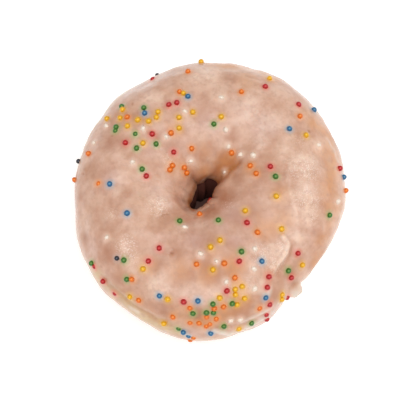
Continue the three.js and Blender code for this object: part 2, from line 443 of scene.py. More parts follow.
for push in PUSHES:
    start = away_from(points_of(dough), under(dough, *push["at"])[0]).argmin()
    pull(dough, int(start), push["by"], push["width"])
points = points_of(dough)
to_hole = np.hypot(points[:, 0] + HOLE_LEFT, points[:, 1])
eased = paint(dough, "near_hole", bell(to_hole, EASE_WITHIN) * (points[:, 2] > FLAT_BELOW))
modify(dough, "SMOOTH", factor=EASE_SHARE, iterations=EASE_ROUNDS, vertex_group=eased)
smooth(dough)
print("pushed the dough at", len(PUSHES), "places")

# %% [markdown]
# ## The icing, cut from the ring
#
# Icing is a skin that follows the dough, so it starts as the upper part of a finer copy of the ring. One
# bisect cuts it off level at the waist outside. Another cuts it on a slant in the hole, where it ran further
# down one wall than the other. A level edge is not what poured icing has: it is scalloped, and here and there
# it ran down in a drip. Each drip is one pull on the edge with proportional editing, which takes the skin
# around along. A shrinkwrap then lays the pulled skin back on the dough.

# %% Cut the icing's skin
SKIN_LEVELS = 1
OUTER_LIP_HEIGHT = 18.4 * MM
HOLE_LIP_HEIGHT = 20.4 * MM
HOLE_LIP_DIPS = math.radians(145)  # the bearing towards which the lip in the hole runs lower
HOLE_LIP_SLOPE = 0.45
HOLE_SIDE = 25 * MM  # what is nearer than this to the middle belongs to the hole
LIP_MERGE = 0.16 * MM

only(dough)
bpy.ops.object.duplicate()
icing = bpy.context.object
icing.name = "icing_skin"
modify(icing, "SUBSURF", levels=SKIN_LEVELS, render_levels=SKIN_LEVELS)

hole_way = (HOLE_LIP_SLOPE * math.cos(HOLE_LIP_DIPS), HOLE_LIP_SLOPE * math.sin(HOLE_LIP_DIPS), 1)
for near_hole, height, way in ((False, OUTER_LIP_HEIGHT, (0, 0, 1)), (True, HOLE_LIP_HEIGHT, hole_way)):
    points = points_of(icing)
    out = np.hypot(points[:, 0], points[:, 1])
    select_vertices(icing, (out < HOLE_SIDE) if near_hole else (out >= HOLE_SIDE))
    if near_hole:
        bpy.ops.mesh.select_more()
    bpy.ops.mesh.bisect(plane_co=(0, 0, height), plane_no=way, clear_inner=True)
    bpy.ops.object.mode_set(mode="OBJECT")


def lip_vertices(piece):
    """True for each vertex on an open edge of a piece."""
    uses = np.zeros(len(piece.data.edges), int)
    edge_of_loop = np.empty(len(piece.data.loops), int)
    piece.data.loops.foreach_get("edge_index", edge_of_loop)
    np.add.at(uses, edge_of_loop, 1)
    ends = np.array([edge.vertices[:] for edge in piece.data.edges])
    on_lip = np.zeros(len(piece.data.vertices), bool)
    on_lip[ends[uses == 1].ravel()] = True
    return on_lip


select_vertices(icing, lip_vertices(icing))
bpy.ops.mesh.remove_doubles(threshold=LIP_MERGE)
bpy.ops.object.mode_set(mode="OBJECT")
print("icing skin:", len(icing.data.polygons), "faces,", int(lip_vertices(icing).sum()), "on its lips")

# %% Pull the drips and scallops
# Bearing anticlockwise from the right, half-width and drop in millimetres.
DRIPS = [
    {"bearing": 315, "width": 9, "drop": 4.2},
    {"bearing": 300, "width": 10, "drop": 5.6},
    {"bearing": 253, "width": 13, "drop": 4.6},
    {"bearing": 218, "width": 11, "drop": 3.0},
    {"bearing": 188, "width": 10, "drop": 6.0},
    {"bearing": 132, "width": 12, "drop": 4.2},
    {"bearing": 74, "width": 12, "drop": 7.0},
    {"bearing": 18, "width": 13, "drop": 4.8},
]
SCALLOPS = 26
SCALLOP_WIDTH = 6.5
SCALLOP_DROP = 1.1
draw = random.Random(7)


def pull_lip(bearing, width, drop):
    """Pull the outer lip down at a bearing, with the skin round it."""
    points = points_of(icing)
    way = np.array([math.cos(math.radians(bearing)), math.sin(math.radians(bearing))])
    beyond = np.where(lip_vertices(icing), points[:, :2] @ way, -1)
    pull(icing, int(beyond.argmax()), (0, 0, -drop), width)


for scallop in range(SCALLOPS):
    bearing = 360 * (scallop + draw.uniform(-0.3, 0.3)) / SCALLOPS
    pull_lip(bearing, SCALLOP_WIDTH, draw.uniform(-SCALLOP_DROP, SCALLOP_DROP))
for drip in DRIPS:
    pull_lip(drip["bearing"], drip["width"], drip["drop"])
modify(icing, "SHRINKWRAP", target=dough, wrap_method="NEAREST_SURFACEPOINT", wrap_mode="ABOVE_SURFACE")
low, high = points_of(icing)[:, 2].min(), points_of(icing)[:, 2].max()
print("the icing reaches from", round(low / MM, 1), "to", round(high / MM, 1), "mm")

# %% [markdown]
# ## The icing's body
#
# Poured icing is about a millimetre thick. Its edge is a round bead: the skin rises steeply from the dough
# within a millimetre and a half, and is fullest a little further in, most of all in the drips. Into the hole
# it thins, because little ran in there. The thickness is worked out for each vertex from its way to the lips,
# and one displacement raises the skin by it.

# %% Measure the way to the lips
points = points_of(icing)
on_lip = lip_vertices(icing)
out = np.hypot(points[:, 0], points[:, 1])
outer_lip = points[on_lip & (out > HOLE_SIDE)]
hole_lip = points[on_lip & (out <= HOLE_SIDE)]
to_outer_lip, _ = nearest(points, outer_lip)
to_hole_lip, _ = nearest(points, hole_lip)
print("the skin is up to", round(float(to_outer_lip.max()) / MM, 1), "mm from its outer lip")

# %% Give the icing its body
BODY = 1.2 * MM
LIP_WIDTH = 1.5 * MM
LIP_LEAST = 0.18
BEAD = 0.6 * MM
BEAD_INSET = 4 * MM
BEAD_WIDTH = 8 * MM
DRIP_BULGE = 0.09  # of a drip's drop
HOLE_THINNING = 0.6
THINNING_WIDTH = 13 * MM


def displace(piece, heights):
    """Move each vertex of a piece along its normal by its own height, up or down."""
    for name, part, turn in (("up", np.maximum(heights, 0), 1), ("down", np.maximum(-heights, 0), -1)):
        most = float(part.max())
        if most > 0:
            paint(piece, name, part / most)
            modify(piece, "DISPLACE", strength=turn * most, mid_level=0, vertex_group=name)
            piece.vertex_groups.remove(piece.vertex_groups[name])


edge = np.minimum(to_outer_lip, to_hole_lip) / LIP_WIDTH
round_edge = np.sqrt(1 - (1 - np.clip(edge, 0, 1)) ** 2)
rise = BODY * (1 - HOLE_THINNING * bell(to_hole_lip, THINNING_WIDTH)) * np.maximum(round_edge, LIP_LEAST)
bearings = np.degrees(np.arctan2(points[:, 1], points[:, 0]))
bulge = np.full(len(points), BEAD)
for drip in DRIPS:
    turn = (bearings - drip["bearing"] + 180) % 360 - 180
    bulge += DRIP_BULGE * drip["drop"] * MM * bell(np.radians(turn) * out, drip["width"] * MM)
rise += bulge * bell(to_outer_lip - BEAD_INSET, BEAD_WIDTH) * round_edge
displace(icing, rise)
print("icing from", round(float(rise.min()) / MM, 2), "to", round(float(rise.max()) / MM, 2), "mm thick")

# %% [markdown]
# ## Thick and thin icing
#
# Where the icing pooled it is thick and whitish, and where it ran off it is thin and the brown crust shows
# through. Many pale spots are also painted highlights, where the lamps' sheen lay on the crown, and many thin
# spots painted shade, round the hole and on the flanks. Each patch is a soft round spot with its own place,
# and the same spots drive the height of the skin here and its colour later.

# %% Paint the patches
# Each spot is x, y, radius and strength, in points of the frame.
# Pale spots are whitish thick icing, and many are also painted highlights where the lamps' sheen lay.
PALE_SPOTS = [
    (153, 98, 17, 1.0), (112, 156, 15, 0.6), (245, 102, 30, 0.85), (236, 112, 18, 0.4), (302, 162, 26, 1.0),
    (303, 190, 20, 0.8), (318, 147, 14, 0.9), (272, 122, 26, 0.9), (124, 246, 14, 0.5), (134, 262, 14, 0.6),
    (158, 285, 20, 0.9), (187, 291, 18, 0.55), (140, 230, 14, 0.5), (306, 216, 22, 0.9), (298, 240, 18, 0.7),
    (274, 254, 20, 0.9), (245, 288, 24, 0.7), (215, 289, 16, 0.5), (160, 196, 20, 0.8), (178, 100, 20, 0.45),
    (280, 92, 18, 0.4), (205, 76, 26, 1.0), (288, 190, 18, 0.4), (335, 170, 14, 0.6), (298, 108, 16, 0.4),
    (120, 178, 14, 0.6), (183, 192, 9, 0.5), (190, 120, 16, 0.3), (266, 264, 14, 0.6), (176, 172, 14, 0.3),
    (285, 146, 20, 0.8), (150, 76, 18, 0.9), (126, 90, 14, 0.9), (130, 268, 12, 0.6),
    (262, 285, 14, 0.8), (186, 334, 8, 0.6), (172, 68, 14, 0.6), (205, 228, 16, 0.5), (256, 90, 20, 0.5),
    (222, 97, 20, 0.7), (262, 140, 16, 0.9), (215, 293, 14, 0.8), (204, 304, 10, 0.6), (267, 289, 10, 1.0),
    (128, 130, 14, 0.5), (116, 190, 12, 0.6), (108, 220, 12, 0.7),
]
# Thin spots are thin icing over the crust, and many are also painted shade round the hole and on the flanks.
THIN_AND_SHADE_SPOTS = [
    (229, 77, 14, 0.35), (110, 141, 16, 0.5), (127, 192, 10, 0.4), (169, 147, 14, 0.5), (142, 120, 18, 0.5),
    (198, 153, 18, 0.6), (232, 134, 14, 0.6), (209, 147, 16, 0.6), (232, 160, 20, 0.9), (224, 174, 18, 1.0),
    (196, 178, 16, 0.9), (114, 284, 20, 0.4), (180, 131, 12, 0.3), (185, 277, 20, 0.7), (92, 170, 16, 0.5),
    (165, 218, 14, 0.45), (209, 212, 18, 0.9), (234, 215, 18, 0.5), (318, 236, 12, 0.5), (322, 205, 10, 0.4),
    (290, 272, 13, 0.7), (210, 272, 20, 0.9), (232, 270, 18, 0.8), (237, 314, 22, 0.7), (250, 304, 16, 0.5),
    (272, 300, 16, 0.4), (190, 204, 10, 0.9), (108, 226, 18, 0.6), (108, 254, 18, 0.7), (160, 262, 18, 0.5),
    (180, 218, 16, 0.5), (226, 198, 20, 0.8), (262, 170, 18, 0.3), (254, 214, 22, 0.7), (205, 236, 24, 0.6),
    (278, 185, 14, 0.4), (178, 256, 18, 0.5), (165, 310, 18, 0.5), (200, 316, 22, 0.8), (228, 236, 18, 0.4),
    (330, 136, 16, 0.5), (88, 135, 12, 0.4), (84, 236, 12, 0.6), (284, 212, 12, 0.3), (320, 256, 18, 0.7),
    (215, 330, 12, 0.5), (155, 165, 14, 0.4), (262, 301, 12, 0.5), (82, 195, 12, 0.4), (108, 150, 14, 0.4),
    (224, 171, 9, 1.0), (293, 284, 10, 0.8), (314, 264, 14, 0.9), (237, 178, 12, 0.8), (157, 136, 12, 0.5),
    (90, 132, 12, 0.6), (74, 176, 12, 0.7), (85, 238, 12, 0.8), (334, 140, 14, 0.7), (165, 313, 14, 0.7),
    (120, 300, 8, 0.4),
]
# Honey-coloured where the icing lets the crust's brown through, and cool where it is milky.
WARM_SPOTS = [
    (335, 130, 22, 0.6), (338, 170, 22, 0.6), (335, 205, 20, 0.5), (318, 258, 18, 0.6), (280, 195, 16, 0.6),
    (270, 224, 22, 0.8), (235, 265, 20, 0.9), (240, 300, 20, 0.9), (180, 270, 20, 0.6), (207, 275, 18, 0.7),
    (180, 312, 18, 0.5), (225, 312, 20, 0.6), (228, 164, 20, 1.0), (175, 165, 16, 0.6), (190, 207, 12, 1.0),
    (120, 117, 14, 0.5), (175, 128, 14, 0.5), (270, 272, 14, 0.4), (215, 256, 14, 0.5), (145, 262, 14, 0.4),
    (250, 80, 22, 0.4), (305, 112, 14, 0.4), (205, 172, 14, 0.6), (224, 170, 12, 1.0), (326, 150, 22, 0.7),
    (328, 190, 20, 0.6), (205, 150, 14, 0.4), (285, 220, 16, 0.5), (265, 235, 12, 0.6), (322, 240, 16, 0.5),
    (121, 116, 12, 0.6), (176, 131, 12, 0.6), (184, 171, 14, 0.6), (250, 168, 14, 0.6), (150, 266, 14, 0.6),
    (237, 282, 12, 0.9), (316, 262, 14, 0.9), (220, 66, 18, 0.6), (270, 78, 18, 0.7), (329, 205, 16, 0.6),
    (330, 165, 16, 0.6),
]
COOL_SPOTS = [
    (110, 180, 18, 0.8), (138, 86, 22, 0.8), (75, 205, 16, 0.7), (265, 126, 24, 0.7), (155, 190, 16, 0.5),
    (232, 213, 18, 0.6), (235, 240, 14, 0.5), (195, 240, 16, 0.6), (205, 122, 16, 0.5), (92, 248, 16, 0.5),
    (278, 305, 12, 0.6), (108, 285, 16, 0.4), (240, 110, 24, 0.4), (300, 90, 16, 0.4), (150, 150, 12, 0.4),
    (192, 334, 12, 0.9), (145, 110, 12, 0.8),
    (214, 128, 12, 0.6), (268, 216, 12, 0.6), (222, 226, 14, 0.6), (104, 182, 14, 0.6),
]
# Small dark marks in the icing.
MARKS = [
    (83, 174, 2.5), (309, 131, 3.0), (132, 104, 2.0), (171, 253, 4.0), (112, 136, 2.0), (138, 112.5, 2.2),
]
# Sugary spots hold sugar crystals, painted paler as glints where the lamps' sheen lay.
SUGAR_GLINT_SPOTS = [
    (304, 168, 26, 1.0), (308, 200, 24, 0.8), (300, 140, 14, 0.4), (158, 205, 18, 1.0), (126, 246, 16, 1.0),
    (132, 258, 12, 0.7), (263, 256, 18, 0.9), (276, 262, 16, 0.8), (281, 248, 12, 0.8), (168, 160, 12, 0.5),
    (112, 214, 12, 0.5), (250, 284, 16, 0.4), (313, 218, 10, 0.8), (185, 300, 10, 0.4), (228, 205, 12, 0.4),
]
pale = spots(icing, PALE_SPOTS)
thin = spots(icing, THIN_AND_SHADE_SPOTS + [(x, y, radius, 1.0) for x, y, radius in MARKS])
sugar = spots(icing, SUGAR_GLINT_SPOTS)
warm = spots(icing, WARM_SPOTS)
cool = spots(icing, COOL_SPOTS)
print("painted", len(PALE_SPOTS), "pale,", len(THIN_AND_SHADE_SPOTS), "thin and", len(SUGAR_GLINT_SPOTS), "sugary spots")

# %% [markdown]
# ## Edges, ridges and creases
#
# Glaze gathered in a cream-coloured band along the lower left flank and in a clear, pale foot at the lower
# right. Where one flow set against another there are ridges and creases, each drawn along its own line. The
# bright glints on the foot, the skirts and the right rim are painted highlights. A band or a line is named
# by a few points of the frame, and the skin's distance from it gives a soft profile.

# %% Tint the edges
LIP_PALE = 0.4  # the icing is thick, and so pale, along its outer lip
LIP_PALE_WIDTH = 8 * MM
# Round the hole's lip the icing is browned: thin icing over crust, and painted shade where it turns down.
HOLE_SHADE_WIDTH = 4 * MM
LIP_CREAM = 0.45
LIP_CREAM_WIDTH = 5 * MM
# Each band has a line through points of the frame, a half-width in millimetres and a strength.
BANDS = [
    # The first two bands, by the hole, are browned icing and a painted shade of the steep funnel wall.
    {"paint": "browned_and_shaded", "width": 2.2, "strength": 0.9,
     "through": [(192, 210), (189, 203), (191, 195), (195, 186), (200, 179.5), (206, 176)]},
    {"paint": "browned_and_shaded", "width": 3.6, "strength": 0.85, "through": [(214, 175), (223, 171), (232, 163)]},
    {"paint": "cream", "width": 5.5, "strength": 1.0,
     "through": [(98, 276), (107, 286), (120, 298), (133, 310), (147, 320), (162, 327), (180, 332)]},
    # Along the top-left rim this cream band is a painted highlight, the pale rim light on the edge.
    {"paint": "cream", "width": 2.2, "strength": 0.6,
     "through": [(84, 146), (91, 132), (103, 114), (116, 100), (132, 88), (150, 78.5)]},
    {"paint": "warm", "width": 5.0, "strength": 1.0, "through": [(212, 64), (235, 66), (264, 73), (276, 79)]},
    {"paint": "warm", "width": 5.5, "strength": 0.8,
     "through": [(314, 124), (328, 134), (334, 160), (330, 190)]},
    {"paint": "warm", "width": 4.0, "strength": 0.4, "through": [(332, 190), (333, 215), (325, 240)]},
    # Painted highlights: whitish glints on the foot, the right rim and the skirts.
    {"paint": "clear", "width": 2.6, "strength": 1.0, "through": [(299, 287), (297, 292), (290, 295.5)]},
    {"paint": "clear", "width": 1.2, "strength": 0.5, "through": [(327, 138), (334, 150), (338, 162)]},
    {"paint": "clear", "width": 1.8, "strength": 0.6, "through": [(131, 308), (138, 312)]},
    {"paint": "clear", "width": 2.0, "strength": 0.35, "through": [(261, 291), (271, 293)]},
]

pale = np.maximum(pale, LIP_PALE * bell(to_outer_lip, LIP_PALE_WIDTH))
browned_and_shaded = bell(to_hole_lip, HOLE_SHADE_WIDTH)
cream = LIP_CREAM * bell(to_outer_lip, LIP_CREAM_WIDTH)
points = points_of(icing)
clear = np.zeros(len(points))
tints = {"browned_and_shaded": browned_and_shaded, "cream": cream, "warm": warm, "clear": clear}
for band in BANDS:
    away, _ = nearest(points, trace(band["through"]))
    tint = tints[band["paint"]]
    np.maximum(tint, band["strength"] * bell(away, band["width"] * MM), out=tint)
print({name: int((tint > 0).sum()) for name, tint in tints.items()}, "vertices tinted")

# %% Raise the ridges and press the creases
POOLED = 0.25 * MM
RAN_OFF = 0.18 * MM
# Ridges and creases: a line through points of the frame, its half-width and its rise in millimetres, and how
# pale, thin or glinting the icing is along it. Pale on a ridge is a painted highlight, thin in a crease a
# painted shade, and the glint a painted highlight.
LINES = [
    {"name": "glaze_crescent", "through": [(283, 237), (288.5, 245), (286, 252), (280, 259), (273, 269)],
     "width": 1.7, "rise": 1.1, "pale": 1.4},
    {"name": "under_crescent", "through": [(292, 245), (291, 255), (285, 265), (277, 275)],
     "width": 2.2, "rise": -0.5, "thin": 0.4},
    {"name": "hole_crease", "through": [(217, 183), (222, 176), (229, 168), (238, 161)],
     "width": 2.8, "rise": -0.8, "thin": 1.0},
    {"name": "waist_crease", "width": 1.0, "rise": -0.4, "thin": 0.35,
     "through": [(101, 276), (108, 283), (119, 293), (134, 305), (147, 312.5), (156, 318), (166, 322.5),
                 (178, 328.5), (192, 331)]},
    {"name": "upper_skirt", "width": 0.9, "rise": 0.5, "clear": 0.75,
     "through": [(240, 321), (251, 318), (262, 312.5), (272, 306.5), (286, 297), (299, 285)]},
    {"name": "lower_skirt", "width": 1.5, "rise": 0.6, "clear": 1.0,
     "through": [(214, 330), (228, 333.5), (240, 330), (252, 325), (261, 319), (267, 316), (273, 311)]},
    {"name": "skirt_fold", "through": [(226, 326), (242, 325), (256, 319.5), (266, 313)],
     "width": 0.9, "rise": -0.3, "thin": 0.5},
    {"name": "glaze_foot", "through": [(297, 288), (291, 293)], "width": 2.9, "rise": 2.4, "pale": 1.3},
    {"name": "plateau_edge", "width": 1.2, "rise": 0.25, "pale": 0.7,
     "through": [(289, 163), (288, 176), (290, 190), (293, 202), (297, 214), (298, 224)]},
    {"name": "plateau_foot", "through": [(285, 165), (284, 176), (286, 191), (289, 204), (293, 216)],
     "width": 1.4, "rise": -0.1, "thin": 0.2},
    {"name": "wrinkle_front", "through": [(199, 213), (206, 208), (214, 203)], "width": 0.8, "rise": -0.3},
    {"name": "wrinkle_left", "through": [(158, 217), (164, 213), (171, 214)], "width": 0.7, "rise": -0.22},
    {"name": "scratch_right", "through": [(306, 128), (310, 133)], "width": 0.5, "rise": -0.3},
]
# Small pits: x and y in the frame, half-width in millimetres and depth.
PITS = [(171, 253, 1.2, 0.4), (83, 174, 0.8, 0.3), (166.2, 138.1, 0.55, 0.35), (225.5, 228.5, 1.0, 0.2)]

relief = (POOLED * pale - RAN_OFF * thin) * round_edge
for line in LINES:
    away, _ = nearest(points, trace(line["through"]))
    on_line = bell(away, line["width"] * MM)
    relief += line["rise"] * MM * on_line * round_edge
    pale = np.maximum(pale, line.get("pale", 0) * on_line)
    thin = np.maximum(thin, line.get("thin", 0) * on_line)
    clear = np.maximum(clear, line.get("clear", 0) * on_line)
for x, y, width, depth in PITS:
    relief -= depth * MM * bell(away_from(points, under(icing, x, y)[0]), width * MM)
displace(icing, np.maximum(relief, LIP_LEAST * BODY - rise))
print("drew", len(LINES), "ridges and creases and", len(PITS), "pits")

# %% Let the icing settle unevenly
ICING_RELIEF = [
    {"name": "pooling", "across": 6.5 * MM, "height": 0.34 * MM},
    {"name": "setting", "across": 2.4 * MM, "height": 0.17 * MM},
]
ripple(icing, ICING_RELIEF, paint(icing, "inland", np.clip(edge, 0, 1)))
print("settled the icing in", len(ICING_RELIEF), "sizes of wave")

# %% [markdown]
# ## Sprinkles
#
# The sprinkles are hard sugar balls a little under 2 mm across, none quite round. One ball is made from an
# icosphere of 80 faces, which is enough for something so small, and copied. Where the camera sees the
# doughnut, each sprinkle has its own place, kept by colour, because the eye knows their clusters. Hardly any
# landed on the flanks, which faced away from the hand that dropped them. Each ball stands with its middle
# just above the skin. The white ones are broken bits, lumpy and half sunk. The copies of one colour are
# joined into one piece.

# %% The places of the sprinkles
# Each place is x and y, and for some how much deeper than the others the ball is sunk, in millimetres.
SPRINKLES = {
    "red": [
        (168.8, 104.5), (176.8, 102.5), (152.2, 133.9), (125.3, 142.7), (173.8, 152.1), (146.3, 175.9),
        (265.3, 86.4), (298.9, 104.3), (270.4, 166.5), (340.1, 168.3), (247.0, 222.6), (159.2, 248.1),
        (148.3, 261.1), (239.2, 261.3), (298.1, 253.4), (291.4, 277.8), (269.0, 276.8), (267.7, 287.3),
        (226.9, 290.9), (183.6, 302.0), (102.8, 281.5), (269.7, 304.6, 0.3), (266.1, 314.3, 0.7),
        (266.7, 319.1, 0.4), (152.9, 79.5, 0.6), (209.8, 199.4, 0.8), (94.8, 266.2, 0.7), (115.3, 293.0, 0.7),
        (286.4, 297.8, 0.6),
    ],
    "orange": [
        (188.0, 71.2), (179.6, 91.5), (127.0, 116.8), (171.0, 132.9), (191.7, 148.6), (172.5, 165.5),
        (170.0, 169.8), (184.4, 167.7), (186.8, 172.9), (88.2, 153.5), (72.7, 179.5), (241.5, 91.6),
        (300.1, 116.0), (231.6, 152.9), (250.1, 165.6), (256.1, 173.5), (345.9, 190.7), (199.6, 213.9),
        (257.5, 232.3), (196.5, 264.2), (224.3, 263.3), (234.9, 277.8), (131.5, 279.4), (138.7, 300.4, 0.2),
        (189.8, 308.2, 0.3), (214.3, 308.6, 0.3), (223.5, 306.9, 0.3), (173.0, 317.0, 0.3),
        (206.5, 316.9, 0.5), (216.1, 318.7, 0.5), (190.1, 322.7, 0.5), (199.0, 323.1, 0.5),
        (206.4, 326.0, 0.6), (209.8, 323.9, 0.6), (193.6, 337.4, 0.5), (190.3, 339.4, 0.6),
        (259.5, 308.3, 0.4), (98.8, 183.9, 0.8),
    ],
    "yellow": [
        (201.0, 60.6), (183.4, 93.0), (122.4, 109.5), (106.8, 118.6), (120.0, 117.7), (137.6, 119.8),
        (148.6, 121.0), (158.0, 111.8), (156.3, 117.2), (179.0, 117.4), (179.1, 128.0), (192.9, 112.0),
        (142.9, 143.1), (221.3, 116.7), (269.6, 78.3), (306.3, 135.1), (276.3, 196.1), (245.3, 210.6),
        (281.6, 229.0), (220.0, 240.2), (210.5, 246.9), (142.9, 269.0), (212.9, 269.7), (302.7, 265.1),
        (242.2, 286.6), (235.3, 289.5), (235.5, 294.7), (244.6, 298.6), (219.7, 298.0), (237.1, 304.8),
        (167.5, 299.5), (129.8, 296.9, 0.2), (163.9, 323.8, 0.1), (238.9, 328.6, 0.4), (282.2, 294.8, 0.3),
        (281.9, 299.5, 0.3), (127.4, 125.9),
    ],
    "green": [
        (121.6, 106.2), (143.8, 107.7), (116.0, 127.0), (115.5, 130.8, 0.4), (135.5, 134.3, 0.7),
        (136.5, 148.1), (156.1, 144.0), (142.1, 169.1), (213.9, 124.0), (275.6, 176.4), (329.7, 215.2),
        (218.3, 220.0), (179.7, 220.9), (241.6, 251.5), (123.8, 260.2), (91.2, 263.3), (288.5, 270.8),
        (126.7, 279.4), (212.9, 304.2), (232.4, 303.7), (206.4, 312.6, 0.3), (213.4, 312.7, 0.4),
        (192.9, 313.5, 0.3), (223.9, 326.3, 0.2), (251.5, 323.3, 0.3), (178.9, 328.0, 0.6),
    ],
    "blue": [
        (187.9, 96.3), (144.7, 113.1), (109.6, 183.9), (127.0, 213.2), (314.2, 109.7), (289.5, 128.7),
        (344.0, 177.2), (262.0, 261.2), (159.4, 295.9, 0.2), (197.9, 301.0), (183.3, 332.4, 0.2),
        (210.9, 333.4, 0.2), (265.8, 297.8, 0.2), (188.6, 335.6, 0.6),
    ],
    "dark": [(78.3, 161.2), (116.8, 258.3), (157.3, 75.4, 0.5)],
    "white": [
        (185.0, 111.9), (143.0, 128.5), (106.5, 126.4), (94.5, 142.9), (190.8, 161.4), (132.6, 162.2),
        (221.1, 97.8), (226.0, 129.7), (318.4, 145.1), (228.6, 146.4), (240.8, 154.6), (253.3, 155.6),
        (184.7, 226.9), (107.0, 237.4), (200.6, 254.1), (216.6, 261.2), (255.0, 248.7), (253.8, 268.8),
        (254.3, 288.6), (226.3, 281.7), (230.4, 320.3), (240.4, 319.6), (337.4, 201.3), (225.0, 172.0),
        (166.2, 137.0),
    ],
}
BALL_RADIUS = 1.0 * MM
BALL_STANDS = 0.34 * MM  # a ball's middle over the skin
BIT_STANDS = -0.1 * MM  # the same for the white bits, which are half sunk
SAME_SLOPE = 0.5  # least cosine between the skin under a point and the skin that the ball's middle is over


def ball_seat(stands, x, y, sunk=0):
    """Where a ball's middle goes so that the camera sees it at a point of its frame."""
    stands -= sunk * MM
    place, normal = under(icing, x, y)
    met, place_there, normal_there, _ = icing.ray_cast(camera.location - stands * normal, ray_through(x, y))
    if met and normal_there.dot(normal) > SAME_SLOPE:
        return place_there + stands * normal_there
    return place + stands * normal


seats = {}
for colour, places in SPRINKLES.items():
    stands = BIT_STANDS if colour == "white" else BALL_STANDS
    seats[colour] = [ball_seat(stands, *place) for place in places]
print({colour: len(places) for colour, places in seats.items()})

# %% Model one ball and copy it
BALL_UNEVEN = {"white": 0.3}
BALL_UNEVEN_USUAL = 0.07
BALL_SCALE = {"white": 0.95, "dark": 0.9}
BALL_LUMPS = 0.05 * MM
BIT_LUMPS = 0.35 * MM
# The paler cap on each ball is a painted highlight, on its side towards the lamp overhead.
HIGHLIGHT_WAY = Vector((0, -0.2, 1)).normalized()  # the side on which a shell is paler


def one_ball(lumps):
    """A ball of 80 faces whose corners stand in or out by up to so much."""
    bpy.ops.mesh.primitive_ico_sphere_add(subdivisions=2, radius=BALL_RADIUS)
    bpy.ops.object.mode_set(mode="EDIT")
    bpy.ops.mesh.select_all(action="SELECT")
    bpy.ops.transform.vertex_random(offset=lumps, seed=3)
    bpy.ops.object.mode_set(mode="OBJECT")
    bpy.ops.object.shade_smooth()
    return bpy.context.object


ball = one_ball(BALL_LUMPS)
bit = one_ball(BIT_LUMPS)


def keep(piece, name, values):
    """Keep a number for each vertex under a name that a material can read."""
    piece.data.attributes.new(name, "FLOAT", "POINT").data.foreach_set("value", values.astype(np.float32))


def copy_ball(seat, colour):
    """One more ball, or white bit, at its seat, turned its own way and not quite round."""
    pattern = bit if colour == "white" else ball
    copy = pattern.copy()
    copy.data = pattern.data.copy()
    bpy.context.collection.objects.link(copy)
    copy.location = seat
    copy.rotation_euler = [draw.uniform(0, 2 * math.pi) for _ in range(3)]
    uneven = BALL_UNEVEN.get(colour, BALL_UNEVEN_USUAL)
    size = BALL_SCALE.get(colour, 1)
    copy.scale = [size * draw.uniform(1 - uneven, 1 + uneven) for _ in range(3)]
    return copy


sprinkles = {}
for colour, places in seats.items():
    copies = [copy_ball(seat, colour) for seat in places]
    only(*copies)
    bpy.ops.object.join()
    sprinkles[colour] = bpy.context.object
    sprinkles[colour].name = "sprinkles_" + colour
    bpy.ops.object.transform_apply(location=True, rotation=True, scale=True)
    points = points_of(sprinkles[colour])
    away, which = nearest(points, places)
    outwards = points - np.array(places)[which]
    outwards /= np.linalg.norm(outwards, axis=1, keepdims=True)
    # Painted highlight: how much each vertex faces the lamp overhead.
    keep(sprinkles[colour], "painted_highlight", outwards @ np.array(HIGHLIGHT_WAY))
bpy.data.objects.remove(ball)
bpy.data.objects.remove(bit)
print("joined", len(sprinkles), "pieces of sprinkles")

# %% [markdown]
# ## Where icing meets sprinkle
#
# Wet icing climbs a little up each ball and stays there as it sets, and a trace of the ball's dye bleeds
# into it. So the skin is raised in a small ring round each sprinkle, and the dye's colour and strength are
# kept on the skin's vertices for the material to read.

# %% Raise the rims and keep the dye
RIM_RISE = 0.2 * MM
RIM_REACH = 2.1 * MM
DYE_REACH = 2.6 * MM
DYE = {
    "red": (240, 128, 112), "orange": (242, 162, 92), "yellow": (240, 190, 92), "green": (168, 188, 116),
    "blue": (160, 188, 204), "dark": (205, 180, 170), "white": (238, 204, 182),
}


def shade(red, green, blue):
    """A colour given from 0 to 255 as on a screen, as the linear colour that the shaders use."""
    parts = [part / 255 for part in (red, green, blue)]
    return tuple(part / 12.92 if part < 0.04045 else ((part + 0.055) / 1.055) ** 2.4 for part in parts)


all_seats = [seat for places in seats.values() for seat in places]
seat_colours = [colour for colour, places in seats.items() for _ in places]
to_ball, which = nearest(points_of(icing), all_seats)
rims = paint(icing, "rims", bell(to_ball, RIM_REACH))
modify(icing, "DISPLACE", strength=RIM_RISE, mid_level=0, vertex_group=rims)

dye_of_seat = np.array([(*shade(*DYE[colour]), 1.0) for colour in seat_colours])
dyes = dye_of_seat[which]
dyes[:, 3] = bell(to_ball, DYE_REACH)
dye_layer = icing.data.color_attributes.new(name="dye", type="FLOAT_COLOR", domain="POINT")
dye_layer.data.foreach_set("color", dyes.ravel())
tints.update(clear=clear, pale=pale, thin=thin, sugar=sugar, cool=cool)
for name, values in tints.items():
    keep(icing, name, values)
print("kept", len(tints), "tints and the dye of", len(all_seats), "sprinkles")

# %% [markdown]
# ## Close the icing
#
# So far the icing is an open skin. Solidify gives it an inside, and a shrinkwrap seats that inside just off
# the dough, so the icing is one piece with a thin round lip, and nothing shows between it and the crust. The
# last line says whether each edge has its two faces. It says no, because a few short edges of the lip in the
# hole are left open.

# %% Give the icing its inside
SEAT_GAP = 0.08 * MM
WALL = 0.2 * MM

icing.vertex_groups.new(name="inside")
modify(icing, "SOLIDIFY", thickness=WALL, offset=-1, shell_vertex_group="inside", use_rim=True)
modify(
    icing,
    "SHRINKWRAP",
    target=dough,
    wrap_method="NEAREST_SURFACEPOINT",
    wrap_mode="ABOVE_SURFACE",
    offset=SEAT_GAP,
    vertex_group="inside",
)
smooth(icing)
print("the icing is closed:", not lip_vertices(icing).any(), "with", len(icing.data.polygons), "faces")

